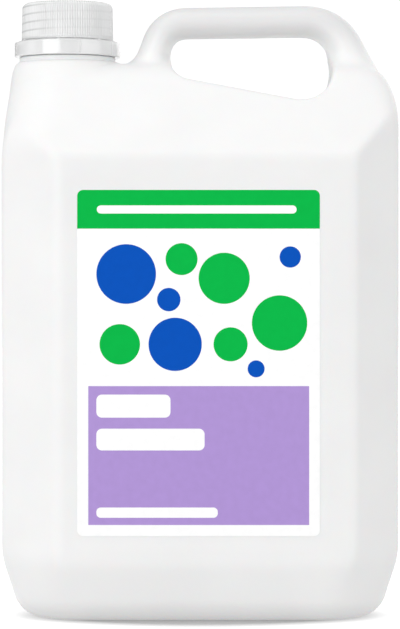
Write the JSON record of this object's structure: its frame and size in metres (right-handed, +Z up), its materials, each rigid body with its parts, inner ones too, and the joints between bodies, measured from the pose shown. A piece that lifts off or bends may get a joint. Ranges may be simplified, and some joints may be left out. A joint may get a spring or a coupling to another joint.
{
  "type": "hand soap refill can",
  "caption": "Upright white jerrycan of liquid hand soap with a moulded-through grip, a ribbed screw cap on a tamper band, and a label on each broad face.",
  "frame": {"origin": "on the ground, under the middle of the can", "axes": "+Z up, +X from the neck end towards the handle end, -Y out of the front label"},
  "size_m": [0.19, 0.13, 0.2974],
  "materials": {
    "can_plastic": "blow-moulded white polyethylene, satin",
    "cap_plastic": "uncoloured polyethylene, slightly see-through, satin",
    "liner_foam": "closed-cell foam, matte",
    "label_film": "white printed film, satin",
    "liquid_soap": "pale pearly liquid"
  },
  "bodies": {
    "can": {"can_body": "can_plastic", "soap_fill": "liquid_soap", "front_label": "label_film", "back_label": "label_film", "tamper_band": "cap_plastic"},
    "liner": {"cap_liner": "liner_foam"},
    "cap": {"screw_cap": "cap_plastic"}
  },
  "joints": [
    {"name": "cap_lift", "type": "slide", "parent": "can", "child": "liner", "axis": [0, 0, 1], "range_m": [0, 0.01]},
    {"name": "cap_turn", "type": "hinge", "parent": "liner", "child": "cap", "pos_m": [-0.065, 0, 0.28], "axis": [0, 0, 1], "range_deg": [0, 900]}
  ],
  "couplings": [
    {"joint": "cap_lift", "follows": "cap_turn", "m_per_rad": 0.00063662}
  ]
}
